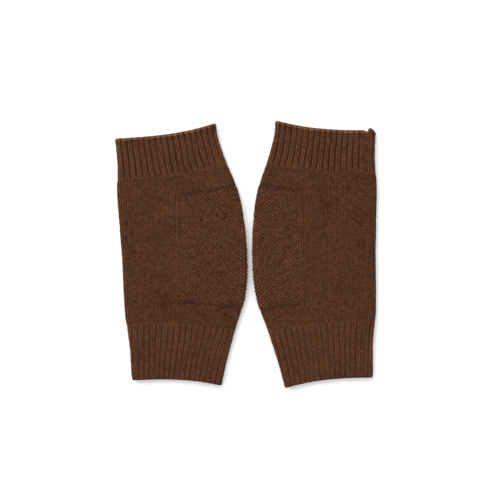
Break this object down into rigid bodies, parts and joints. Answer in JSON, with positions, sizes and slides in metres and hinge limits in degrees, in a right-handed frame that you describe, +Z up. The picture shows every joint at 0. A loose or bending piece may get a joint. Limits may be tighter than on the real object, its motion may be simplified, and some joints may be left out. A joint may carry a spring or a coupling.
{
  "type": "pair of fingerless knitted warmers",
  "caption": "Pair of knitted open tubes laid flat: a ribbed cuff at each end, a plain sleeve, a bulging moss-stitch panel over one fold and a linked seam behind the other.",
  "frame": {"origin": "on the surface that the pair lies on, under the middle of the pair's outline", "axes": "+Z up out of the surface, +Y towards the top cuffs, +X from the left warmer to the right one"},
  "size_m": [0.27, 0.274, 0.0104],
  "materials": {
    "rib_wool": "matt brown wool, 2 by 1 rib",
    "plain_wool": "matt brown wool, plain knitting",
    "moss_wool": "matt brown wool, moss stitch",
    "edge_wool": "matt brown wool, chained edge",
    "seam_wool": "matt brown wool, turned-in selvedges",
    "thread_wool": "matt brown linking yarn"
  },
  "bodies": {
    "left_warmer": {"left_top_cuff": "rib_wool", "left_sleeve": "plain_wool", "left_moss_panel": "moss_wool", "left_bottom_cuff": "rib_wool", "left_bind_off_edge": "edge_wool", "left_cast_on_edge": "edge_wool", "left_seam_allowance": "seam_wool", "left_linking_thread": "thread_wool"},
    "right_warmer": {"right_top_cuff": "rib_wool", "right_sleeve": "plain_wool", "right_moss_panel": "moss_wool", "right_bottom_cuff": "rib_wool", "right_bind_off_edge": "edge_wool", "right_cast_on_edge": "edge_wool", "right_seam_allowance": "seam_wool", "right_linking_thread": "thread_wool"}
  },
  "joints": [
    {"name": "pair_slide", "type": "slide", "parent": "left_warmer", "child": "right_warmer", "axis": [1, 0, 0], "range_m": [0, 0.2]}
  ]
}
